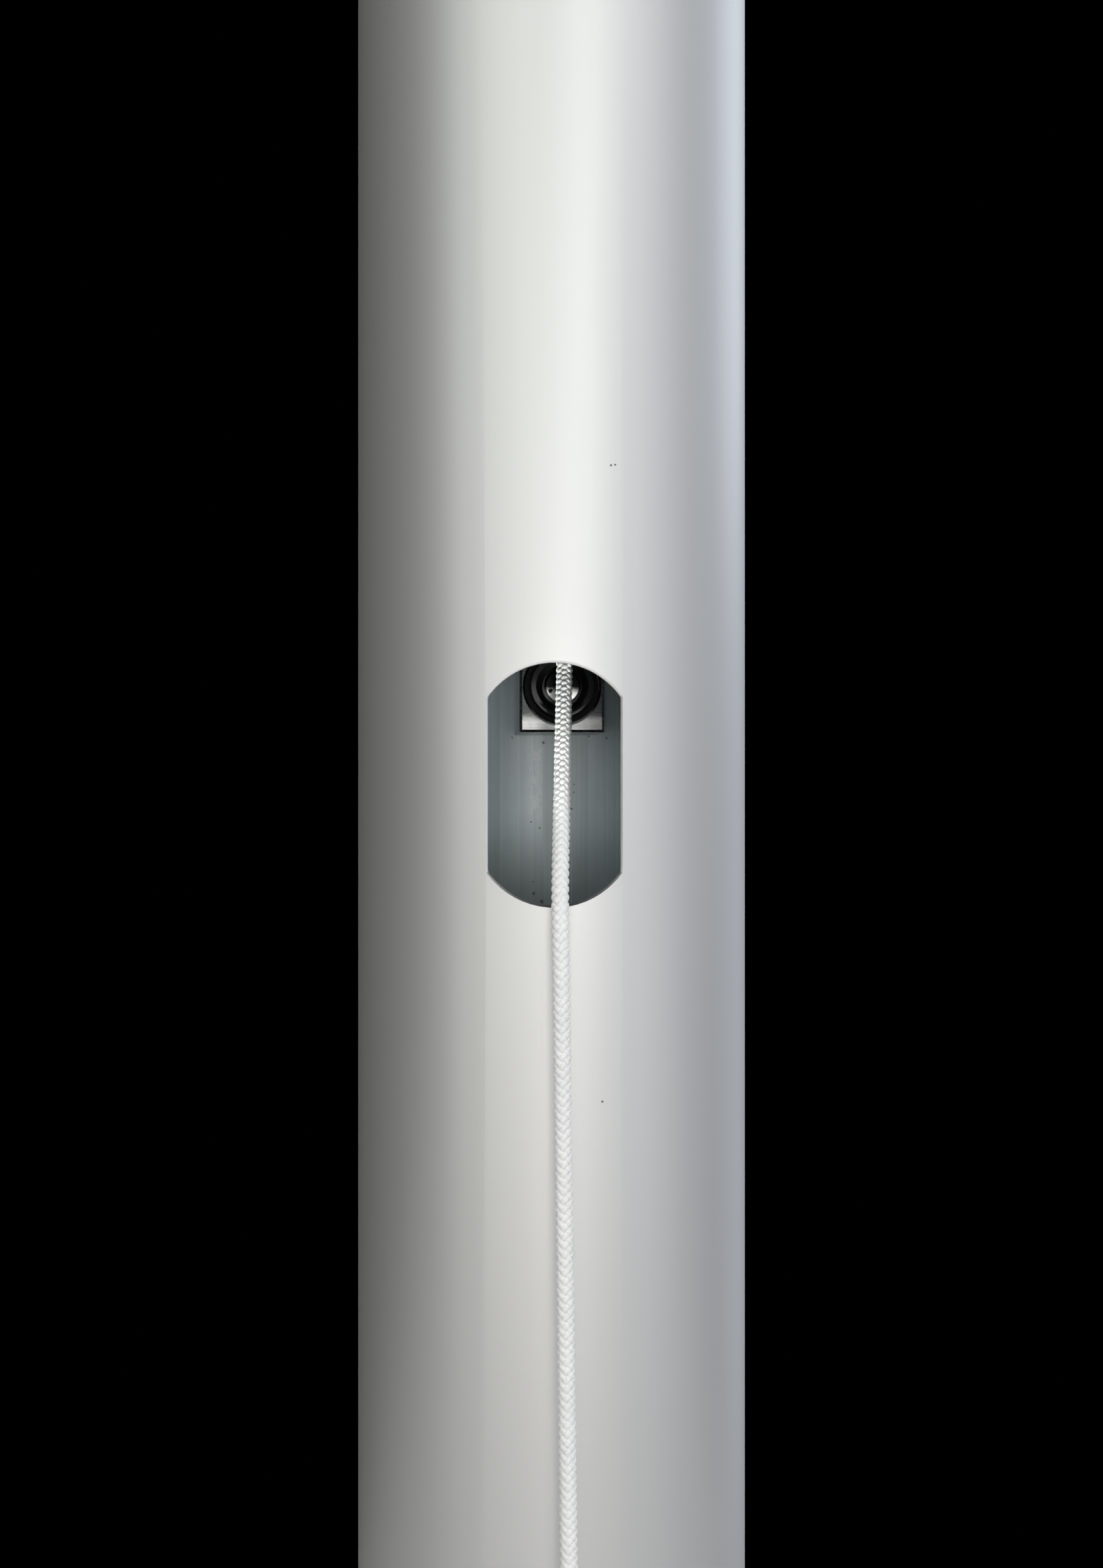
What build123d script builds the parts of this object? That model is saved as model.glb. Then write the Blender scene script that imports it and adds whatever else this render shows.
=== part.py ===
# Length of a hollow aluminium flagpole shaft with its halyard outlet: a slot cut in the front wall,
# a belaying fitting on the inside of the rear wall, and the halyard that comes out over the slot's sill.
# Millimetres. Z runs up the pole's axis from the lower end, and the slot faces -Y.
import os
from math import cos, hypot, pi, radians, sin, sqrt

from build123d import *

# Pole shaft
POLE_DIAMETER = 120.0
POLE_WALL = 3.5
POLE_LENGTH = 690.0
END_CHAMFER = 0.8

# Halyard slot, milled square to the front of the pole
SLOT_WIDTH = 38.0
SLOT_HEIGHT = 69.2
SLOT_END_RADIUS = 23.5
SLOT_CORNER_RADIUS = 2.0
SLOT_CENTRE_HEIGHT = 400.0
SLOT_DEBURR = 0.5

# Belaying block, seated on the rear wall a little off centre and a little turned
BLOCK_WIDTH = 27.0
BLOCK_FACE_Y = 14.0
BLOCK_OFFSET_X = 3.6
BLOCK_TURN = 2.5
BLOCK_FACE_HEIGHT = 29.0
BLOCK_EDGE_CHAMFER = 0.8
NOSE_HEIGHT = 14.0
NOSE_REACH = 12.0
NOSE_ROOT_FILLET = 2.5
EYE_RADIUS = 4.2
EYE_LIP_CHAMFER = 1.5

# Belaying button, let into the block's face
BUTTON_RISE = 31.0
BUTTON_RADIUS = 11.8
BUTTON_BASE_THICKNESS = 1.6
BUTTON_SEAT_DEPTH = 4.0
BUTTON_SEAT_CLEARANCE = 0.1
BUTTON_SEAT_CHAMFER = 0.7
BUTTON_LAND_INNER_RADIUS = 8.1
BUTTON_LAND_OUTER_RADIUS = 10.2
BUTTON_LAND_HEIGHT = 1.6
BUTTON_LAND_BEVEL = 0.35
BUTTON_DISH_RADIUS = 6.3
BUTTON_DISH_HEIGHT = -1.0

# Flat-head bolt that holds the button
BOLT_HEAD_RADIUS = 5.75
BOLT_HEAD_HEIGHT = 2.8
BOLT_HEAD_BEVEL = 0.6
BOLT_SOCKET_ACROSS_FLATS = 5.0
BOLT_SOCKET_DEPTH = 2.0
BOLT_SHANK_RADIUS = 3.0
BOLT_SHANK_LENGTH = 20.0

# Countersunk screws that hold the block, through the rear wall
SCREW_RADIUS = 3.0
SCREW_HEAD_RADIUS = 6.0
SCREW_LENGTH = 20.0
SCREW_RECESS = 0.5
SCREW_SOCKET_ACROSS_FLATS = 4.0
SCREW_SOCKET_DEPTH = 1.8
SCREW_INSET = 7.5
HOLE_CLEARANCE = 0.06

# Halyard
ROPE_DIAMETER = 5.2
SILL_BEND_RADIUS = 16.0
EYE_BEND_RADIUS = 16.0
SILL_STAND_OFF = 7.5
SILL_RISE = 4.0
SILL_X = 1.4
TAIL_STAND_OFF = 8.5
TAIL_X = 4.1
TAIL_DROP = 236.0
EYE_LEAD = 6.0
KNOT_RADIUS = 8.0
KNOT_HEIGHT = 15.0
KNOT_SHOULDER = 3.5
TAIL_END_LENGTH = 16.0

# Places that follow from the sizes above
POLE_RADIUS = POLE_DIAMETER / 2
BORE_RADIUS = POLE_RADIUS - POLE_WALL
ROPE_RADIUS = ROPE_DIAMETER / 2
FACE_HALF = BLOCK_FACE_HEIGHT / 2
NOSE_TOP = FACE_HALF + NOSE_HEIGHT
BLOCK_PLACE = Location((BLOCK_OFFSET_X, BLOCK_FACE_Y, SLOT_CENTRE_HEIGHT + BUTTON_RISE), (0, 0, BLOCK_TURN))
EYE_X = BLOCK_OFFSET_X + NOSE_REACH * sin(radians(BLOCK_TURN))
EYE_Y = BLOCK_FACE_Y - NOSE_REACH * cos(radians(BLOCK_TURN))
EYE_TOP = SLOT_CENTRE_HEIGHT + BUTTON_RISE + NOSE_TOP
EYE_BOTTOM = EYE_TOP - NOSE_HEIGHT
SILL_HEIGHT = SLOT_CENTRE_HEIGHT - SLOT_HEIGHT / 2
HALYARD_ROUTE = [
    (EYE_X, EYE_Y, EYE_TOP),
    (EYE_X, EYE_Y, EYE_BOTTOM - EYE_LEAD),
    (SILL_X, -POLE_RADIUS - SILL_STAND_OFF, SILL_HEIGHT + SILL_RISE),
    (TAIL_X, -POLE_RADIUS - TAIL_STAND_OFF, SLOT_CENTRE_HEIGHT - TAIL_DROP),
]
HALYARD_BENDS = [EYE_BEND_RADIUS, SILL_BEND_RADIUS]

# How near two places are to count as the same
NEAR = 0.01

# Cylinders that stand on their lower end
UPRIGHT = (Align.CENTER, Align.CENTER, Align.MIN)

# The block's own frame: X across its face, Y into the pole, Z up, from the button's centre.
# Pieces that turn about the button's axis are drawn as (radius, height in front of the face).
FACE_PLANE = Plane(origin=(0, 0, 0), x_dir=(1, 0, 0), z_dir=(0, -1, 0))


def turned(profile):
    """Revolves a profile drawn in (radius, height) about the button's axis, in the block's frame."""
    return FACE_PLANE.location * revolve(Plane.XZ * profile, Axis.Z)


def screw_heights():
    """Heights of the two rear screws, in the block's frame."""
    return (-FACE_HALF + SCREW_INSET, NOSE_TOP - SCREW_INSET)


def screw_places():
    """Frames at the rear screws' heads, each with Z pointing out through the rear wall."""
    head_depth = POLE_RADIUS - SCREW_RECESS - BLOCK_FACE_Y
    return [BLOCK_PLACE * Pos(0, head_depth, z) * Rot(-90, 0, 0) for z in screw_heights()]


def countersunk(grow):
    """A countersunk screw's outline, grown all round, with its flat head on the plane Z = 0."""
    head_depth = SCREW_HEAD_RADIUS - SCREW_RADIUS
    with BuildSketch(Plane.XZ) as outline:
        with BuildLine():
            Polyline(
                (0, 0),
                (SCREW_HEAD_RADIUS + grow, 0),
                (SCREW_RADIUS + grow, -head_depth),
                (SCREW_RADIUS + grow, -SCREW_LENGTH - grow),
                (0, -SCREW_LENGTH - grow),
                close=True,
            )
        make_face()
    return revolve(outline.sketch, Axis.Z)


def slot_cutter():
    """The slot's outline, straight sides and flat-arched ends, carried back through the front wall."""
    half_width = SLOT_WIDTH / 2
    half_height = SLOT_HEIGHT / 2
    arch = SLOT_END_RADIUS - sqrt(SLOT_END_RADIUS**2 - half_width**2)
    shoulder = half_height - arch
    with BuildSketch(Plane.XZ) as outline:
        with BuildLine():
            ThreePointArc((-half_width, shoulder), (0, half_height), (half_width, shoulder))
            Line((half_width, shoulder), (half_width, -shoulder))
            ThreePointArc((half_width, -shoulder), (0, -half_height), (-half_width, -shoulder))
            Line((-half_width, -shoulder), (-half_width, shoulder))
        make_face()
        fillet(outline.vertices(), SLOT_CORNER_RADIUS)
    return Pos(0, 0, SLOT_CENTRE_HEIGHT) * extrude(outline.sketch, POLE_DIAMETER)


def pole_tube():
    """The extruded shaft, cut square at both ends, with the slot and the countersunk rear holes."""
    tube = Cylinder(POLE_RADIUS, POLE_LENGTH, align=UPRIGHT)
    tube -= Cylinder(BORE_RADIUS, POLE_LENGTH, align=UPRIGHT)
    tube = chamfer(tube.edges().filter_by(GeomType.CIRCLE), END_CHAMFER)
    tube -= slot_cutter()
    tube = chamfer([e for e in tube.edges() if is_slot_rim(e)], SLOT_DEBURR)
    for place in screw_places():
        tube -= place * countersunk(HOLE_CLEARANCE)
        tube -= place * Cylinder(SCREW_HEAD_RADIUS + HOLE_CLEARANCE, POLE_WALL, align=UPRIGHT)
    return tube


def is_slot_rim(edge):
    """True for an edge of the slot that lies on the pole's outer surface."""
    middle = edge @ 0.5
    on_surface = abs(hypot(middle.X, middle.Y) - POLE_RADIUS) < NEAR
    return on_surface and middle.Y < -POLE_RADIUS / 2


def belaying_block():
    """The block that stands off the rear wall: a face for the button under a nose with the halyard's eye."""
    half = BLOCK_WIDTH / 2
    body = Pos(0, POLE_RADIUS / 2, (NOSE_TOP - FACE_HALF) / 2) * Box(BLOCK_WIDTH, POLE_RADIUS, FACE_HALF + NOSE_TOP)
    plan = Pos(0, -NOSE_REACH / 2) * Rectangle(BLOCK_WIDTH, NOSE_REACH) + Pos(0, -NOSE_REACH) * Circle(half)
    nose = Pos(0, 0, FACE_HALF) * extrude(plan, NOSE_HEIGHT)
    block = body + nose
    root = block.edges().filter_by(Axis.X).sort_by_distance((0, 0, FACE_HALF))[0]
    block = fillet(root, NOSE_ROOT_FILLET)
    block -= Pos(0, -NOSE_REACH, FACE_HALF) * Cylinder(EYE_RADIUS, NOSE_HEIGHT, align=UPRIGHT)
    lips = [e for e in block.edges().filter_by(GeomType.CIRCLE) if abs(e.radius - EYE_RADIUS) < NEAR]
    block = chamfer(lips, EYE_LIP_CHAMFER)
    face = block.faces().filter_by(Axis.Y).sort_by(Axis.Y)[0]
    free_edges = face.edges().sort_by(Axis.Z)[:-1]
    block = chamfer(free_edges, BLOCK_EDGE_CHAMFER)
    block -= button_seat()
    block -= bolt_hole()
    block = BLOCK_PLACE * block
    for place in screw_places():
        block -= place * countersunk(HOLE_CLEARANCE)
    return block & Cylinder(BORE_RADIUS, POLE_LENGTH, align=UPRIGHT)


def button_seat():
    """The round seat in the block's face, with its chamfered mouth."""
    seat = BUTTON_RADIUS + BUTTON_SEAT_CLEARANCE
    with BuildSketch() as outline:
        with BuildLine():
            Polyline(
                (0, -BUTTON_SEAT_DEPTH),
                (seat, -BUTTON_SEAT_DEPTH),
                (seat, -BUTTON_SEAT_CHAMFER),
                (seat + 2 * BUTTON_SEAT_CHAMFER, BUTTON_SEAT_CHAMFER),
                (0, BUTTON_SEAT_CHAMFER),
                close=True,
            )
        make_face()
    return turned(outline.sketch)


def bolt_hole():
    """The bolt's blind hole behind the button's seat."""
    radius = BOLT_SHANK_RADIUS + HOLE_CLEARANCE
    depth = BOLT_SHANK_LENGTH + HOLE_CLEARANCE
    return FACE_PLANE.location * Cylinder(radius, 2 * depth)


def belaying_button():
    """The moulded button: a base in the seat, a raised land that the halyard is turned round, and a dish."""
    inner = BUTTON_LAND_INNER_RADIUS
    outer = BUTTON_LAND_OUTER_RADIUS
    bevel = BUTTON_LAND_BEVEL
    bolt_bore = BOLT_SHANK_RADIUS + HOLE_CLEARANCE
    base_top = -BUTTON_SEAT_DEPTH + BUTTON_BASE_THICKNESS
    with BuildSketch() as outline:
        with BuildLine():
            Polyline(
                (bolt_bore, -BUTTON_SEAT_DEPTH),
                (BUTTON_RADIUS, -BUTTON_SEAT_DEPTH),
                (BUTTON_RADIUS, base_top),
                (outer, base_top),
                (outer, BUTTON_LAND_HEIGHT - bevel),
                (outer - bevel, BUTTON_LAND_HEIGHT),
                (inner + bevel, BUTTON_LAND_HEIGHT),
                (inner, BUTTON_LAND_HEIGHT - bevel),
                (BUTTON_DISH_RADIUS, BUTTON_DISH_HEIGHT),
                (bolt_bore, BUTTON_DISH_HEIGHT),
                close=True,
            )
        make_face()
    return BLOCK_PLACE * turned(outline.sketch)


def button_bolt():
    """The flat-head bolt with its hexagon socket, seated in the button's dish."""
    head_top = BUTTON_DISH_HEIGHT + BOLT_HEAD_HEIGHT
    head = Pos(0, 0, BUTTON_DISH_HEIGHT) * Cylinder(BOLT_HEAD_RADIUS, BOLT_HEAD_HEIGHT, align=UPRIGHT)
    head = chamfer(head.edges().filter_by(GeomType.CIRCLE).sort_by(Axis.Z)[-1], BOLT_HEAD_BEVEL)
    head -= Pos(0, 0, head_top) * hexagon_prism(BOLT_SOCKET_ACROSS_FLATS, BOLT_SOCKET_DEPTH)
    shank_length = BOLT_SHANK_LENGTH + BUTTON_DISH_HEIGHT
    shank = Pos(0, 0, -BOLT_SHANK_LENGTH) * Cylinder(BOLT_SHANK_RADIUS, shank_length, align=UPRIGHT)
    return BLOCK_PLACE * FACE_PLANE.location * (head + shank)


def hexagon_prism(across_flats, depth):
    """A hexagon socket cutter that reaches down from Z = 0."""
    corner_radius = across_flats / 2 / cos(radians(30))
    return extrude(RegularPolygon(corner_radius, 6), -depth)


def rear_screw(place):
    """One countersunk screw, seated in the rear wall and the block."""
    socket = hexagon_prism(SCREW_SOCKET_ACROSS_FLATS, SCREW_SOCKET_DEPTH)
    return place * (countersunk(0) - socket)


def halyard_line():
    """The halyard's centre line: straight runs, and an arc at the eye and at the sill."""
    return FilletPolyline(*HALYARD_ROUTE, radius=HALYARD_BENDS)


def halyard():
    """The halyard's plain tube from the eye, out over the slot's sill and down the front of the pole."""
    line = halyard_line()
    section = Plane(origin=line @ 0, z_dir=line % 0) * Circle(ROPE_RADIUS)
    return sweep(section, path=line)


def stopper_knot():
    """The knot that rests on the nose and holds the halyard."""
    return Pos(EYE_X, EYE_Y, EYE_TOP) * barrel()


def end_knot():
    """The knot at the halyard's tail, with the short end that sticks out of it."""
    bottom = Vector(HALYARD_ROUTE[-1])
    lead = (bottom - Vector(HALYARD_ROUTE[-2])).normalized()
    tail = Pos(0, 0, KNOT_HEIGHT) * Cylinder(ROPE_RADIUS, TAIL_END_LENGTH, align=UPRIGHT)
    return Plane(origin=bottom, z_dir=lead).location * (barrel() + tail)


def barrel():
    """A knot's outer shape: a barrel with sloping shoulders, standing on Z = 0."""
    blank = Cylinder(KNOT_RADIUS, KNOT_HEIGHT, align=UPRIGHT)
    return chamfer(blank.edges().filter_by(GeomType.CIRCLE), KNOT_SHOULDER)


def main():
    lower_screw, upper_screw = (rear_screw(place) for place in screw_places())
    pieces = {
        "pole_tube": pole_tube(),
        "belaying_block": belaying_block(),
        "belaying_button": belaying_button(),
        "button_bolt": button_bolt(),
        "lower_screw": lower_screw,
        "upper_screw": upper_screw,
        "halyard": halyard(),
        "stopper_knot": stopper_knot(),
        "end_knot": end_knot(),
    }
    os.makedirs("parts", exist_ok=True)
    for name, piece in pieces.items():
        export_step(piece, f"parts/{name}.step")
    length = halyard_line().length
    section_area = pi * ROPE_RADIUS**2
    print(f"halyard length {length:.1f} mm, bends {HALYARD_BENDS} mm")
    print(f"volume {pieces['halyard'].volume:.0f} mm3, section times length {section_area * length:.0f} mm3")


main()
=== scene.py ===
# A length of aluminium flagpole with its halyard outlet, dressed and lit. Metres, in the part's own frame.
import math

import bmesh
import bpy
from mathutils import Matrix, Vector


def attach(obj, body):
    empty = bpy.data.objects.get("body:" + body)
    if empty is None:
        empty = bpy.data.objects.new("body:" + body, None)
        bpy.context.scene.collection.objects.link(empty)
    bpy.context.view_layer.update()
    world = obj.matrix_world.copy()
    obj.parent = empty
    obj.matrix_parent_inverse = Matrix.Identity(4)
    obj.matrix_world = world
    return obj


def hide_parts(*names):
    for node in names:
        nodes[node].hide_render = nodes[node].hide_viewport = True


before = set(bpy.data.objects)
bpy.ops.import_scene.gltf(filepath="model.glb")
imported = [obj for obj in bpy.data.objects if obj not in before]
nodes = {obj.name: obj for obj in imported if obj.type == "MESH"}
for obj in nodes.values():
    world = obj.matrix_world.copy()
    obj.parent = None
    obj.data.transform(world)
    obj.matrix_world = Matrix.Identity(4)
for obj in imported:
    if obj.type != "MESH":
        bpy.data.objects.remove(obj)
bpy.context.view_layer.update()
print("frame loaded:", ", ".join(sorted(nodes)))


# shader helpers: arithmetic on wires adds Math nodes, everything else comes from Finish.node

class Wire:
    def __init__(self, finish, socket):
        self.finish = finish
        self.socket = socket

    def math(self, operation, *values):
        return self.finish.node("Math", {"operation": operation}, dict(enumerate(values)))

    def __add__(self, other):
        return self.math("ADD", self, other)

    def __radd__(self, other):
        return self.math("ADD", other, self)

    def __sub__(self, other):
        return self.math("SUBTRACT", self, other)

    def __rsub__(self, other):
        return self.math("SUBTRACT", other, self)

    def __mul__(self, other):
        return self.math("MULTIPLY", self, other)

    def __rmul__(self, other):
        return self.math("MULTIPLY", other, self)

    def __truediv__(self, other):
        return self.math("DIVIDE", self, other)

    def __rtruediv__(self, other):
        return self.math("DIVIDE", other, self)

    def __pow__(self, other):
        return self.math("POWER", self, other)

    def __rpow__(self, other):
        return self.math("POWER", other, self)

    def __gt__(self, other):
        return self.math("GREATER_THAN", self, other)

    def __lt__(self, other):
        return self.math("LESS_THAN", self, other)

    def __abs__(self):
        return self.math("ABSOLUTE", self)

    def orMore(self, other):
        return self.math("MAXIMUM", self, other)


class Finish:
    def __init__(self, name):
        self.material = bpy.data.materials.new(name)
        self.material.use_nodes = True
        self.tree = self.material.node_tree
        self.shader = self.tree.nodes["Principled BSDF"]

    def feed(self, socket, value):
        if isinstance(value, Wire):
            self.tree.links.new(value.socket, socket)
        else:
            socket.default_value = value

    def node(self, kind, settings=None, inputs=None, output=0):
        made = self.tree.nodes.new("ShaderNode" + kind)
        for key, value in (settings or {}).items():
            setattr(made, key, value)
        for key, value in (inputs or {}).items():
            self.feed(made.inputs[key], value)
        return Wire(self, made.outputs[output])

    def surface(self, **values):
        for key, value in values.items():
            self.feed(self.shader.inputs[key.replace("_", " ")], value)

    def place(self):
        return self.node("TexCoord", output="Object")

    def facing(self):
        return self.node("TexCoord", output="Normal")

    def axes(self, vector):
        split = self.node("SeparateXYZ", inputs={"Vector": vector}).socket.node
        return [Wire(self, split.outputs[i]) for i in range(3)]

    def grain(self, vector, scale, detail, roughness=0.5):
        inputs = {"Vector": vector, "Scale": scale, "Detail": detail, "Roughness": roughness}
        return self.node("TexNoise", {}, inputs)

    def drawnOut(self, vector, scales, detail, roughness=0.5):  # grain with its own scale along each axis
        stretched = self.node("VectorMath", {"operation": "MULTIPLY"}, {0: vector, 1: scales})
        return self.grain(stretched, 1.0, detail, roughness)

    def between(self, value, low, high):
        span = {"From Min": low, "From Max": high, "To Min": 0.0, "To Max": 1.0}
        return self.node("MapRange", {"interpolation_type": "SMOOTHSTEP"}, {"Value": value, **span})

    def inside(self, value, low, high, soft):
        above = self.between(value, low - soft, low + soft)
        return above * (1 - self.between(value, high - soft, high + soft))

    def blend(self, mask, first, second):
        return self.node("Mix", {"data_type": "RGBA"}, {0: mask, 6: first, 7: second}, output=2)

    def spots(self, across, up, places, ragged):
        mask = None
        for x, z, size in places:
            dx = across - x
            dz = up - z
            gap = (dx * dx + dz * dz) ** 0.5 + (ragged - 0.5) * size
            spot = 1 - self.between(gap, size * 0.5, size)
            mask = spot if mask is None else mask.orMore(spot)
        return mask

    def bump(self, height, strength, distance):
        inputs = {"Height": height, "Strength": strength, "Distance": distance}
        self.surface(Normal=self.node("Bump", {}, inputs))

    def coat(self, *pieces):
        for piece in pieces:
            piece.data.materials.clear()
            piece.data.materials.append(self.material)


# camera: level with the slot, a touch to its left

view = {
    "azimuth": -0.83,        # degrees, 0 is straight at the slot
    "distance": 0.66,
    "height": 0.400,
    "pictureHeight": 2296,
    "focalPixels": 3100,
    "sensorHeight": 36.0,
    "nearest": 0.01,
}


def aroundPole(azimuth, distance, height):
    turn = math.radians(azimuth)
    return Vector((distance * math.sin(turn), -distance * math.cos(turn), height))


def addCamera():
    camera = bpy.data.objects.new("camera", bpy.data.cameras.new("camera"))
    camera.data.sensor_fit = "VERTICAL"
    camera.data.sensor_height = view["sensorHeight"]
    camera.data.lens = view["sensorHeight"] * view["focalPixels"] / view["pictureHeight"]
    camera.data.clip_start = view["nearest"]
    camera.location = aroundPole(view["azimuth"], view["distance"], view["height"])
    camera.rotation_euler = (math.pi / 2, 0, math.radians(view["azimuth"]))
    bpy.context.collection.objects.link(camera)
    bpy.context.scene.camera = camera


addCamera()
print("camera set")


# halyard: an eight-strand plait round a core, laid along the route's smooth line

plait = {
    "route": [
        (0.00412, 0.00201, 0.4595),
        (0.00412, 0.00201, 0.4395),
        (0.00358, -0.0119, 0.4255),
        (0.00222, -0.0466, 0.3904),
        (0.00140, -0.0643, 0.3673),
        (0.00181, -0.0672, 0.3380),
        (0.00410, -0.0685, 0.1640),
    ],
    "lineSteps": 48,         # how finely the smooth line is read between two points of a route
    "diameter": 0.0052,
    "lead": 0.0100,          # one full turn of a strand
    "stations": 30,          # rings in each turn
    "strandsEachWay": 4,
    "strandRadius": 0.00176,
    "wave": 0.00030,         # how far a strand rises over the one it crosses
    "halfThick": 0.00054,
    "halfWide": 0.00096,
    "ringSides": 8,
    "coreRadius": 0.00112,
    "coreShift": 2.0,        # sets the core's u apart from the strands', which run from 0 to 1
    "tipLength": 0.0016,     # the heat-sealed end
    "tipBlunt": 0.06,
}


def smoothLine(name, points):
    curve = bpy.data.curves.new(name, "CURVE")
    curve.dimensions = "3D"
    curve.resolution_u = plait["lineSteps"]
    spline = curve.splines.new("NURBS")
    spline.points.add(len(points) - 1)
    for point, place in zip(spline.points, points):
        point.co = (*place, 1.0)
    spline.order_u = 3
    spline.use_endpoint_u = True
    holder = bpy.data.objects.new(name, curve)
    bpy.context.collection.objects.link(holder)
    mesh = bpy.data.meshes.new_from_object(holder)
    line = [vertex.co.copy() for vertex in mesh.vertices]
    bpy.data.objects.remove(holder)
    bpy.data.meshes.remove(mesh)
    return line


def evenSteps(line, step):
    lengths = [0.0]
    for a, b in zip(line, line[1:]):
        lengths.append(lengths[-1] + (b - a).length)
    count = max(2, round(lengths[-1] / step))
    places, index = [], 0
    for k in range(count + 1):
        along = lengths[-1] * k / count
        while index < len(line) - 2 and lengths[index + 1] < along:
            index += 1
        span = max(lengths[index + 1] - lengths[index], 1e-9)  # never nothing
        places.append(line[index].lerp(line[index + 1], (along - lengths[index]) / span))
    return places, lengths[-1]


def levelSide(along):
    return (Vector((1, 0, 0)) - along * along.x).normalized()


def carriedFrames(places):
    frames = []
    side = None
    for i, place in enumerate(places):
        ahead = places[min(i + 1, len(places) - 1)]
        behind = places[max(i - 1, 0)]
        along = (ahead - behind).normalized()
        if side is None:
            side = levelSide(along)
        side = (side - along * side.dot(along)).normalized()
        frames.append((place, side, along.cross(side)))
    return frames


class PlaitMesh:
    def __init__(self, name):
        self.name = name
        self.mesh = bmesh.new()
        self.strandUv = self.mesh.loops.layers.uv.new("strandUv")

    def addTube(self, centres, axes, widths, thicknesses, uvStep, uvShift):
        sides = plait["ringSides"]
        rings = []
        for i, centre in enumerate(centres):
            before = centres[max(i - 1, 0)]
            after = centres[min(i + 1, len(centres) - 1)]
            along = (after - before).normalized()
            outward = axes[i] - along * axes[i].dot(along)
            outward.normalize()
            across = along.cross(outward)
            ring = []
            for k in range(sides):
                turn = 2 * math.pi * k / sides
                offset = across * widths[i] * math.cos(turn) + outward * thicknesses[i] * math.sin(turn)
                ring.append(self.mesh.verts.new(centre + offset))
            rings.append(ring)
        for i, (low, high) in enumerate(zip(rings, rings[1:])):
            for k in range(sides):
                following = (k + 1) % sides
                face = self.mesh.faces.new((low[k], low[following], high[following], high[k]))
                face.smooth = True
                corners = ((k, i), (k + 1, i), (k + 1, i + 1), (k, i + 1))
                for loop, (around, station) in zip(face.loops, corners):
                    loop[self.strandUv].uv = (uvShift + around / sides, station * uvStep)
        self.mesh.faces.new(list(reversed(rings[0])))
        self.mesh.faces.new(rings[-1])

    def addPlait(self, line, sealed=False):
        step = plait["lead"] / plait["stations"]
        places, length = evenSteps(line, step)
        frames = carriedFrames(places)
        tip = plait["tipLength"] if sealed else 0.0
        shrink = []
        for i in range(len(frames)):
            past = max(0.0, (i - len(frames) + 1) * step + tip)
            shrink.append(math.sqrt(max(plait["tipBlunt"], 1 - (past / tip) ** 2)) if past else 1.0)
        uvStep = 1 / plait["stations"]
        perTurn = 2 * math.pi / plait["strandsEachWay"]
        widths = [plait["halfWide"] * s for s in shrink]
        thicknesses = [plait["halfThick"] * s for s in shrink]
        for way in (1, -1):
            for strand in range(plait["strandsEachWay"]):
                centres, axes = [], []
                for i, (place, side, up) in enumerate(frames):
                    turn = i / plait["stations"]
                    angle = way * 2 * math.pi * turn + strand * perTurn
                    over = way * math.cos(2 * math.pi * plait["strandsEachWay"] * turn)
                    reach = (plait["strandRadius"] + plait["wave"] * over) * shrink[i]
                    outward = side * math.cos(angle) + up * math.sin(angle)
                    centres.append(place + outward * reach)
                    axes.append(outward)
                self.addTube(centres, axes, widths, thicknesses, uvStep, 0.0)
        core = [plait["coreRadius"] * s for s in shrink]
        sides = [side for place, side, up in frames]
        self.addTube(places, sides, core, core, uvStep, plait["coreShift"])
        return places, length

    def finished(self, node):
        data = bpy.data.meshes.new(self.name)
        self.mesh.normal_update()
        self.mesh.to_mesh(data)
        self.mesh.free()
        piece = bpy.data.objects.new(self.name, data)
        bpy.context.collection.objects.link(piece)
        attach(piece, "root")
        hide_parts(node)
        return piece


halyardMesh = PlaitMesh("halyardPlait")
halyardPlaces, halyardLength = halyardMesh.addPlait(smoothLine("halyardLine", plait["route"]))
halyardPiece = halyardMesh.finished("halyard")
print(f"halyard plaited, {halyardLength:.3f} m")


# barrel knots: the cord runs through, and its own turns are wound close round it

knot = {
    "height": 0.0150,
    "wrapRadius": 0.0052,
    "wrapPitch": 0.0053,
    "firstWrap": 0.0026,
    "pointsPerTurn": 8,
    "tuckRadii": (0.0022, 0.0042),   # how the first and last turns dive under
    "stopperTail": [(0, 0, 0), (0.0002, 0.0001, 0.009), (0.0008, 0.0004, 0.017), (0.0022, 0.0012, 0.0235)],
    "endTail": [(0, 0, 0), (0, 0, 0.010), (0.0006, -0.0002, 0.022), (0.0014, -0.0006, 0.031)],
}


def knotPiece(name, node, base, along, tail):
    side = levelSide(along)
    up = along.cross(side)

    def at(x, y, z):
        return base + side * x + up * y + along * z

    turns = (knot["height"] - 2 * knot["firstWrap"]) / knot["wrapPitch"]
    count = round(turns * knot["pointsPerTurn"])
    radii = [knot["wrapRadius"]] * (count + 1)
    for k, radius in enumerate(knot["tuckRadii"]):
        radii[k] = radius
        radii[-1 - k] = radius
    wraps = []
    for k, radius in enumerate(radii):
        angle = 2 * math.pi * k / knot["pointsPerTurn"]
        rise = knot["firstWrap"] + knot["wrapPitch"] * k / knot["pointsPerTurn"]
        wraps.append(at(radius * math.cos(angle), radius * math.sin(angle), rise))
    made = PlaitMesh(name)
    made.addPlait(smoothLine(name + "Wraps", wraps))
    made.addPlait(smoothLine(name + "Through", [at(*point) for point in tail]), sealed=True)
    return made.finished(node)


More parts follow.
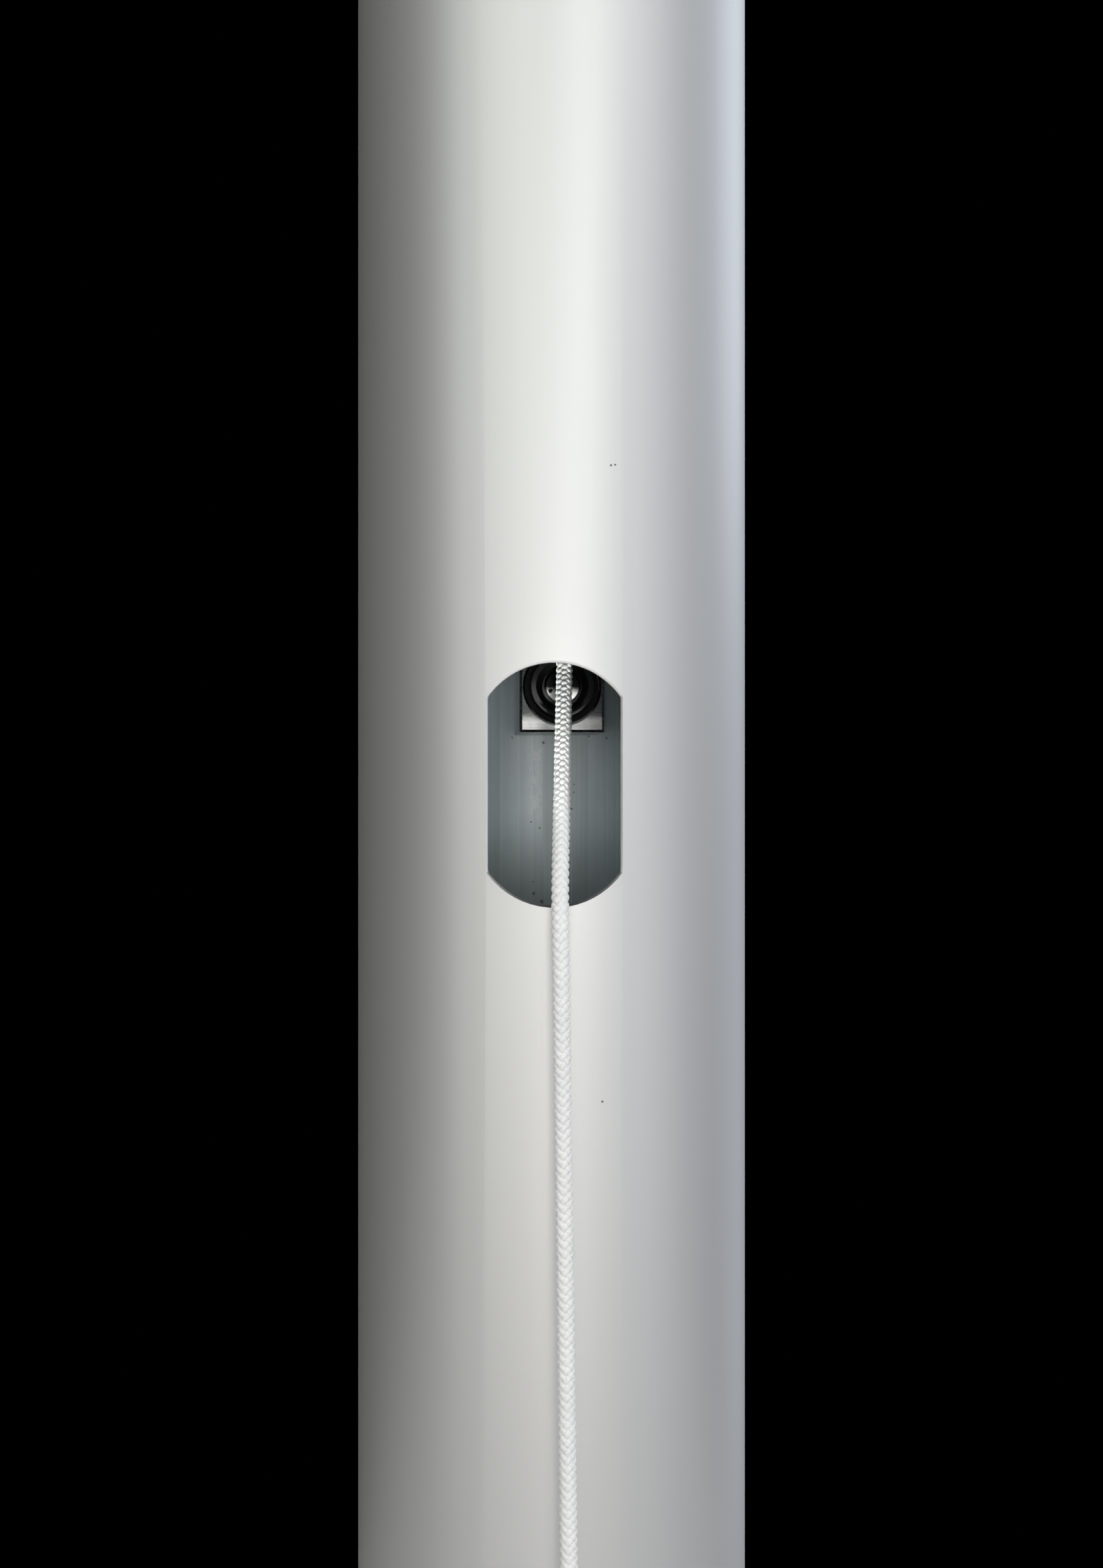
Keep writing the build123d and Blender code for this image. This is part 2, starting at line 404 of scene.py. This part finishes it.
halyardTop = Vector(plait["route"][0])
halyardEnd = Vector(plait["route"][-1])
hangs = (halyardEnd - Vector(plait["route"][-2])).normalized()
stopperPiece = knotPiece("stopperKnot", "stopper_knot", halyardTop, Vector((0, 0, 1)), knot["stopperTail"])
endPiece = knotPiece("endKnot", "end_knot", halyardEnd, hangs, knot["endTail"])
print("knots tied")


# white polyester cord: bright filaments laid along each strand, and a core painted grey as shade in the gaps
# noise here and below: its scale, or its scales along x, y and z, then its detail and its roughness

cord = {
    "white": (0.97, 0.975, 0.97, 1),
    "shade": (0.87, 0.88, 0.88, 1),
    # painted shade: the core is grey so that the gaps between strands look shaded
    "core": (0.40, 0.42, 0.43, 1),
    "filaments": ((26.0, 6.0, 1.0), 3.0, 0.6),
    "cloud": (220.0, 3.0),
    "filamentShare": 0.6,
    "whiteFrom": (0.30, 0.62),
    "roughness": 0.85,
    "specular": 0.10,
    "sheen": 0.5,
    "sheenRoughness": 0.5,
    "bump": (0.2, 0.0001),   # strength and depth
}


def cordFinish():
    finish = Finish("whiteCord")
    strandUv = finish.node("UVMap", {"uv_map": "strandUv"})
    around = finish.axes(strandUv)[0]
    filaments = finish.drawnOut(strandUv, *cord["filaments"])
    cloud = finish.grain(finish.place(), *cord["cloud"])
    share = cord["filamentShare"]
    tint = finish.between(filaments * share + cloud * (1 - share), *cord["whiteFrom"])
    strands = finish.blend(tint, cord["shade"], cord["white"])
    # painted shade on the core, which shows in the gaps
    shadedCore = around > plait["coreShift"] - 0.5
    finish.surface(Base_Color=finish.blend(shadedCore, strands, cord["core"]), Roughness=cord["roughness"])
    finish.surface(Specular_IOR_Level=cord["specular"])
    finish.surface(Sheen_Weight=cord["sheen"], Sheen_Roughness=cord["sheenRoughness"])
    finish.bump(filaments, *cord["bump"])
    return finish


cordFinish().coat(halyardPiece, stopperPiece, endPiece)
print("cord finished")


# shaft: satin anodised outside, mill finish inside, bare metal where it is cut

shaft = {
    "outerRadius": 0.0596,          # beyond this is the anodised skin
    "innerRadius": 0.0568,          # within this is the mill-finish bore
    "radiusSoft": 0.0001,
    "squareFrom": (0.86, 0.94),     # skin and bore face squarely out or in, cut edges don't
    "skin": (0.71, 0.72, 0.705, 1),
    "bore": (0.90, 0.98, 0.985, 1),
    "boreDark": (0.75, 0.835, 0.845, 1),
    "cut": (0.97, 0.97, 0.96, 1),
    "sill": (0.24, 0.245, 0.245, 1),    # painted shade on the cut edges that face up
    "sillFrom": (0.15, 0.45),
    "sillBelow": 0.5,               # so that the shaft's top end stays bright
    "rimFrom": (-0.45, -0.15),      # the edges that face down
    "rimHighlight": 0.9,                # how much of them is made soft white, a painted highlight
    # grime for the specks, and the colour of the painted shade and painted halyard shadow on the rear wall
    "grimeAndShade": (0.07, 0.075, 0.075, 1),
    "scuff": (0.98, 1.0, 1.0, 1),
    "lowShadeFrom": (0.360, 0.392),     # painted shade: the rear wall darkens from the upper of these heights to the lower
    "lowShadeStrength": 0.35,
    "oxide": 0.35,                  # how much of the skin is the anodised layer's soft white scatter
    "skinRoughness": 0.46,
    "boreRoughness": 0.55,
    "cutRoughness": 0.42,
    "lineRoughness": 0.10,          # what the fine lines add to the skin's
    "fineLines": ((2600.0, 2600.0, 9.0), 2.0),
    "broadLines": ((420.0, 420.0, 2.2), 3.0),
    "dieLines": ((900.0, 900.0, 3.0), 3.0, 0.7),
    "mottle": ((60.0, 60.0, 25.0), 4.0, 0.6),
    "ragged": (2200.0, 2.0),
    "dieShare": 0.6,                # of the bore's tone, the rest is mottle
    "paleFrom": (0.32, 0.66),
    "dieDepth": 2.0,
    "bump": (0.25, 0.00006),
    "boreSpecks": [                 # x, z and size, on the rear wall inside
        (-0.0020, 0.4140, 0.00060),
        (0.0134, 0.4161, 0.00042),
        (0.0193, 0.4155, 0.00045),
        (-0.0125, 0.4157, 0.00038),
        (-0.0061, 0.3872, 0.00038),
        (-0.0032, 0.3851, 0.00040),
        (0.0083, 0.3972, 0.00036),
        (0.0084, 0.3999, 0.00030),
        (0.0076, 0.3916, 0.00046),
        (-0.0052, 0.3630, 0.00070),
        (-0.0025, 0.3602, 0.00080),
        (-0.0055, 0.3670, 0.00042),
    ],
    "skinSpecks": [                 # the same, on the skin in front
        (0.0161, 0.4907, 0.00042),
        (0.0173, 0.4909, 0.00036),
        (0.0136, 0.3097, 0.00042),
    ],
    "speckStrength": {"bore": 0.6, "skin": 0.9},
    "speckDull": 0.7,               # how far a speck is from metal
    "speckRoughness": 0.2,
    "scuffs": {                     # pale curls rubbed into the rear wall
        "left": -0.0068, "right": -0.0026, "bottom": 0.3868, "top": 0.4130,
        "sideSoft": 0.0009, "endSoft": 0.003, "strength": 0.8,
        "curls": ((560.0, 560.0, 420.0), 2.0, 0.6), "curlEdge": (0.010, 0.035), "polish": 0.10,
    },
    "scratch": {
        "x": 0.0076, "halfWidth": 0.00010, "bottom": 0.3570, "top": 0.3900,
        "endSoft": 0.004, "strength": 0.5,
    },
    "halyardShadow": {                     # painted shadow of the halyard: a darker band behind it
        "left": -0.0020, "right": 0.0066, "soft": 0.0008, "fades": (0.416, 0.440), "strength": 0.26,
    },
}


def shaftScuffs(finish, place, x, z):
    patch, scratch = shaft["scuffs"], shaft["scratch"]
    curls = finish.drawnOut(place, *patch["curls"])
    curl = 1 - finish.between(abs(curls - 0.5), *patch["curlEdge"])
    rubbed = finish.inside(x, patch["left"], patch["right"], patch["sideSoft"])
    rubbed = rubbed * finish.inside(z, patch["bottom"], patch["top"], patch["endSoft"])
    width = scratch["halfWidth"]
    line = 1 - finish.between(abs(x - scratch["x"]), width * 0.5, width * 1.5)
    line = line * finish.inside(z, scratch["bottom"], scratch["top"], scratch["endSoft"])
    return (curl * rubbed * patch["strength"]).orMore(line * scratch["strength"])


# painted shade on the rear wall: darker towards the bottom, together with the painted shadow of the halyard
def rearWallShade(finish, x, z):
    halyardShadow = shaft["halyardShadow"]
    low = (1 - finish.between(z, *shaft["lowShadeFrom"])) * shaft["lowShadeStrength"]
    band = finish.inside(x, halyardShadow["left"], halyardShadow["right"], halyardShadow["soft"])
    band = band * (1 - finish.between(z, *halyardShadow["fades"]))
    return low.orMore(band * halyardShadow["strength"])


def shaftFinish():
    finish = Finish("anodisedShaft")
    place = finish.place()
    x, y, z = finish.axes(place)
    nx, ny, nz = finish.axes(finish.facing())
    radius = (x * x + y * y) ** 0.5
    faces = finish.between(abs(nx * x + ny * y) / radius, *shaft["squareFrom"])
    soft = shaft["radiusSoft"]
    onSkin = finish.between(radius, shaft["outerRadius"] - soft, shaft["outerRadius"] + soft) * faces
    pastBore = finish.between(radius, shaft["innerRadius"] - soft, shaft["innerRadius"] + soft)
    inBore = (1 - pastBore) * faces
    fineLines = finish.drawnOut(place, *shaft["fineLines"])
    broadLines = finish.drawnOut(place, *shaft["broadLines"])
    dieLines = finish.drawnOut(place, *shaft["dieLines"])
    mottle = finish.drawnOut(place, *shaft["mottle"])
    ragged = finish.grain(place, *shaft["ragged"])

    behind = y > 0
    specks = finish.spots(x, z, shaft["boreSpecks"], ragged) * behind * inBore
    skinSpecks = finish.spots(x, z, shaft["skinSpecks"], ragged) * (1 - behind) * onSkin
    marks = (specks * shaft["speckStrength"]["bore"]).orMore(skinSpecks * shaft["speckStrength"]["skin"])
    scuffs = shaftScuffs(finish, place, x, z) * behind * inBore
    # painted shade and the painted halyard shadow on the rear wall
    darkened = rearWallShade(finish, x, z) * behind

    tone = dieLines * shaft["dieShare"] + mottle * (1 - shaft["dieShare"])
    bore = finish.blend(finish.between(tone, *shaft["paleFrom"]), shaft["boreDark"], shaft["bore"])
    bore = finish.blend(scuffs, finish.blend(darkened, bore, shaft["grimeAndShade"]), shaft["scuff"])
    # painted shade: the cut edges that face up, below the shaft's top end, are dark
    shadedSill = finish.between(nz, *shaft["sillFrom"]) * (z < shaft["sillBelow"])
    colour = finish.blend(inBore, finish.blend(shadedSill, shaft["cut"], shaft["sill"]), bore)
    colour = finish.blend(onSkin, colour, shaft["skin"])
    # painted highlight: the cut edges that face down are made soft white instead of metal
    litRim = (1 - finish.between(nz, *shaft["rimFrom"])) * (1 - onSkin) * (1 - inBore)
    notMetal = (marks * shaft["speckDull"]).orMore(onSkin * shaft["oxide"]).orMore(litRim * shaft["rimHighlight"])
    finish.surface(Base_Color=finish.blend(marks, colour, shaft["grimeAndShade"]), Metallic=1 - notMetal)

    skinRough = shaft["skinRoughness"] + (fineLines - 0.5) * shaft["lineRoughness"]
    bareRough = shaft["cutRoughness"] + inBore * (shaft["boreRoughness"] - shaft["cutRoughness"])
    bareRough = bareRough - scuffs * shaft["scuffs"]["polish"]
    rough = bareRough + onSkin * (skinRough - bareRough)
    finish.surface(Roughness=rough + marks * shaft["speckRoughness"])
    skinHeight = (fineLines + broadLines) * 0.5
    finish.bump(onSkin * skinHeight + (1 - onSkin) * dieLines * shaft["dieDepth"], *shaft["bump"])
    return finish


shaftFinish().coat(nodes["pole_tube"])
print("shaft finished")


# belaying fitting: milled block, moulded button, polished bolt, steel screws

metal = {
    "wear": (320.0, 4.0),
    "wearFrom": (0.35, 0.65),
    "worn": 0.82,            # a worn patch keeps this much of the colour
    "strokes": ((120.0, 120.0, 2400.0), 3.0),
}


def metalFinish(name, colour):
    finish = Finish(name)
    place = finish.place()
    wear = finish.between(finish.grain(place, *metal["wear"]), *metal["wearFrom"])
    worn = tuple(c * metal["worn"] for c in colour[:3]) + (1,)
    tone = finish.blend(wear, worn, colour)
    finish.surface(Base_Color=tone, Metallic=1.0)
    return finish, place, tone


button = {
    "colour": (0.010, 0.010, 0.011, 1),
    "centre": (0.0036, 0.4310),
    "grooveFrom": (0.0101, 0.0103),         # it is matt beyond its land
    "glossRing": (0.0090, 0.0096, 0.0002),  # stays glossy where the rest is rubbed: from, to, softness
    "rubbedBelow": (0.4250, 0.4268),
    "haze": (700.0, 3.0),
    "roughness": 0.45,
    "hazeRoughness": 0.1,
    "specular": 0.12,
    "gloss": 0.6,
    "glossRoughness": 0.12,
    "bump": (0.08, 0.00003),
}


def fromButton(x, z):
    dx = x - button["centre"][0]
    dz = z - button["centre"][1]
    return (dx * dx + dz * dz) ** 0.5


def buttonFinish():
    finish = Finish("blackButton")
    place = finish.place()
    x, _, z = finish.axes(place)
    away = fromButton(x, z)
    haze = finish.grain(place, *button["haze"])
    rubbed = 1 - finish.between(z, *button["rubbedBelow"])
    rubbed = rubbed * (1 - finish.inside(away, *button["glossRing"]))
    matt = finish.between(away, *button["grooveFrom"]).orMore(rubbed)
    finish.surface(Base_Color=button["colour"], Specular_IOR_Level=button["specular"])
    finish.surface(Roughness=button["roughness"] + haze * button["hazeRoughness"])
    finish.surface(Coat_Weight=(1 - matt) * button["gloss"], Coat_Roughness=button["glossRoughness"])
    finish.bump(haze, *button["bump"])
    return finish


block = {
    "colour": (0.37, 0.38, 0.375, 1),
    # colour of the painted light on the left flank and on the lower rim of the button's seat
    "pale": (0.92, 0.93, 0.92, 1),
    # colour of the painted shade on the block's bevels and on its front
    "grimeAndShade": (0.045, 0.05, 0.05, 1),
    "bevelFacing": (-0.85, -0.55, 0.05),    # how a bevel faces along y: from, to, softness
    "edgesFrom": (0.01265, 0.01295),        # further from the button's centre, a bevel is the block's edge
    "speckle": (900.0, 4.0),
    "speckleFrom": (0.30, 0.62),
    "bevelShade": 0.75,                     # at least this much, and all of it where it is speckled
    "frontFrom": (0.90, 0.96),
    "shadeFrom": (0.4198, 0.4230),          # painted shade: the front is dark above its lower corners
    "shadeRagged": 0.0015,
    "shadeStrength": 0.92,
    "flankFrom": (0.80, 0.95),
    "mouthRing": (0.0120, 0.0125, 0.0001),  # the rim of the button's seat: from, to, softness
    "mouthBelow": (0.4210, 0.4250),
    "grimeAndShadeDull": 0.6,                       # how far the painted shade and the painted light are from metal
    "paleDull": 0.8,
    "roughness": 0.20,
    "strokeRoughness": 0.16,
    "flankRoughness": 0.4,
    "bump": (0.2, 0.000012),
}


def blockFinish():
    finish, place, tone = metalFinish("milledBlock", block["colour"])
    strokes = finish.drawnOut(place, *metal["strokes"])
    x, _, z = finish.axes(place)
    nx, ny, _ = finish.axes(finish.facing())
    away = fromButton(x, z)
    # painted shade: the block's bevels are dark, darkest where speckled
    bevel = finish.inside(ny, *block["bevelFacing"]) * finish.between(away, *block["edgesFrom"])
    speckle = finish.grain(place, *block["speckle"])
    speckled = finish.between(speckle, *block["speckleFrom"])
    # painted shade over the front's upper part, with a ragged lower edge
    shade = finish.between(z + (speckle - 0.5) * block["shadeRagged"], *block["shadeFrom"])
    shade = shade * finish.between(-1 * ny, *block["frontFrom"])
    edgeShade = bevel * (block["bevelShade"] + speckled * (1 - block["bevelShade"]))
    grimeAndShade = edgeShade.orMore(shade * block["shadeStrength"])
    # painted light: the left flank is pale and mostly not metal
    litFlank = finish.between(-1 * nx, *block["flankFrom"])
    # painted highlight: the lower part of the button seat's rim is pale
    litMouth = finish.inside(away, *block["mouthRing"]) * (1 - finish.between(z, *block["mouthBelow"]))
    pale = litFlank.orMore(litMouth)
    tone = finish.blend(pale, tone, block["pale"])
    notMetal = (grimeAndShade * block["grimeAndShadeDull"]).orMore(pale * block["paleDull"])
    finish.surface(Base_Color=finish.blend(grimeAndShade, tone, block["grimeAndShade"]), Metallic=1 - notMetal)
    rough = block["roughness"] + strokes * block["strokeRoughness"]
    finish.surface(Roughness=rough + litFlank * block["flankRoughness"])
    finish.bump(strokes * (1 - litFlank), *block["bump"])
    return finish


bolt = {
    "colour": (0.86, 0.85, 0.83, 1),
    "upperShade": (0.010, 0.010, 0.011, 1),
    "upperShadeFrom": (0.4286, 0.4310),           # painted shade darkens the head's upper half
    "upperShadeRagged": 0.001,
    "ragged": (900.0, 2.0),
    "spots": [(-0.0002, 0.4296, 0.0011)],   # x, z and size
    "roughness": 0.19,
}


def boltFinish():
    finish, place, tone = metalFinish("polishedBolt", bolt["colour"])
    x, _, z = finish.axes(place)
    ragged = finish.grain(place, *bolt["ragged"])
    # painted shade on the head's upper half, and a dark spot on the head
    upperShade = finish.between(z + (ragged - 0.5) * bolt["upperShadeRagged"], *bolt["upperShadeFrom"])
    darkened = upperShade.orMore(finish.spots(x, z, bolt["spots"], ragged))
    finish.surface(Base_Color=finish.blend(darkened, tone, bolt["upperShade"]), Roughness=bolt["roughness"])
    return finish


screw = {
    "colour": (0.62, 0.62, 0.62, 1),
    "roughness": 0.24,
    "strokeRoughness": 0.12,
    "bump": (0.2, 0.00004),
}


def screwFinish():
    finish, place = metalFinish("screwSteel", screw["colour"])[:2]
    strokes = finish.drawnOut(place, *metal["strokes"])
    finish.surface(Roughness=screw["roughness"] + strokes * screw["strokeRoughness"])
    finish.bump(strokes, *screw["bump"])
    return finish


blockFinish().coat(nodes["belaying_block"])
buttonFinish().coat(nodes["belaying_button"])
boltFinish().coat(nodes["button_bolt"])
screwFinish().coat(nodes["lower_screw"], nodes["upper_screw"])
print("fitting finished")


# floor: pale and round, set forward so that its rear edge stays below the picture

floor = {
    "radius": 1.0,
    "sides": 192,
    "centreY": -0.60,
    "drop": 0.0005,          # just clear of the shaft's lower end
    "colour": (0.57, 0.545, 0.54, 1),
    "roughness": 0.8,
}


def addFloor():
    mesh = bmesh.new()
    bmesh.ops.create_circle(mesh, cap_ends=True, radius=floor["radius"], segments=floor["sides"])
    data = bpy.data.meshes.new("floor")
    mesh.to_mesh(data)
    mesh.free()
    piece = bpy.data.objects.new("floor", data)
    piece.location = (0, floor["centreY"], -floor["drop"])
    bpy.context.collection.objects.link(piece)
    finish = Finish("paleFloor")
    finish.surface(Base_Color=floor["colour"], Roughness=floor["roughness"])
    finish.coat(piece)


addFloor()
print("floor laid")


# light: soft panels all round, two narrow spots from below into the slot, and a black world

plain = (0.98, 1.0, 0.97)
warm = (1.0, 0.955, 0.95)
cool = (0.82, 0.87, 1.0)
panel = {"distance": 1.9, "height": 0.88, "aim": 0.88, "aside": 0, "size": (1.2, 2.3), "colour": plain}
upper = {**panel, "height": 1.25, "aim": 1.25, "size": (0.75, 1.5)}
lower = {**panel, "height": 0.25, "aim": 0.25, "size": (0.8, 0.5), "colour": warm}
high = {**panel, "distance": 1.6, "height": 2.4, "aim": 0.4, "size": (0.8, 0.8)}
panels = {
    "upperFarLeft": {**upper, "azimuth": -47, "power": 3.3},
    "upperLeft": {**upper, "azimuth": -30, "power": 2.2},
    "upperNearLeft": {**upper, "azimuth": -14, "power": 4.9},
    "upperNearRight": {**upper, "azimuth": 16, "power": 7.7},
    "upperRight": {**upper, "azimuth": 33, "power": 2.1, "colour": (0.93, 0.95, 1.0)},
    "lowerFarLeft": {**lower, "azimuth": -40, "power": 1.75},
    "lowerLeft": {**lower, "azimuth": -20, "power": 1.5},
    "lowerMiddle": {**lower, "azimuth": 4, "size": (0.7, 0.5), "power": 4.4},
    "lowerRight": {**lower, "azimuth": 25, "size": (0.7, 0.5), "power": 1.4},
    "left": {**panel, "azimuth": -66, "power": 0.7},
    "right": {**panel, "azimuth": 55, "power": 7.2, "colour": (0.89, 0.905, 1.0)},
    "rightSide": {**panel, "azimuth": 92, "power": 3.1, "colour": cool},
    "rightBack": {
        **panel, "azimuth": 130, "height": 1.45, "size": (1.3, 1.5), "power": 9.7, "colour": cool,
    },
    "rightBackLow": {
        **panel, "azimuth": 134, "height": 0.10, "aim": 0.10,
        "size": (1.2, 1.2), "power": 2.8, "colour": cool,
    },
    "back": {**panel, "azimuth": 180, "size": (0.8, 2.3), "power": 6.0},
    "highLeft": {**high, "azimuth": -45, "power": 5},
    "highRight": {**high, "azimuth": 50, "power": 9},
}
spotLamps = {                # beam is the cone's full angle in degrees
    "intoSlot": {
        "azimuth": -8, "distance": 0.169, "height": 0.319, "aim": 0.4335, "aside": 0.004,
        "beam": 5, "radius": 0.008, "power": 4.3, "colour": plain,
    },
    "underArch": {
        "azimuth": 0, "distance": 0.30, "height": 0.05, "aim": 0.5025, "aside": 0,
        "beam": 5.6, "radius": 0.003, "power": 2.2, "colour": plain,
    },
}


def hang(light, lamp):  # in its place, turned to its aim on or beside the pole's axis
    light.energy = lamp["power"]
    light.color = lamp["colour"]
    holder = bpy.data.objects.new(light.name, light)
    holder.location = aroundPole(lamp["azimuth"], lamp["distance"], lamp["height"])
    towards = Vector((lamp["aside"], 0, lamp["aim"])) - holder.location
    holder.rotation_euler = towards.to_track_quat("-Z", "Y").to_euler()
    bpy.context.collection.objects.link(holder)


def addLamps():
    for name, lamp in panels.items():
        light = bpy.data.lights.new(name, "AREA")
        light.shape = "RECTANGLE"
        light.size, light.size_y = lamp["size"]
        hang(light, lamp)
    for name, lamp in spotLamps.items():
        light = bpy.data.lights.new(name, "SPOT")
        light.spot_size = math.radians(lamp["beam"])
        light.spot_blend = 1  # soft right across
        light.shadow_soft_size = lamp["radius"]
        hang(light, lamp)


def setWorld():
    world = bpy.data.worlds.new("studio")
    world.use_nodes = True
    world.node_tree.nodes["Background"].inputs["Color"].default_value = (0, 0, 0, 1)
    bpy.context.scene.world = world


addLamps()
setWorld()
bpy.context.scene.view_settings.view_transform = "Standard"
print("lit")
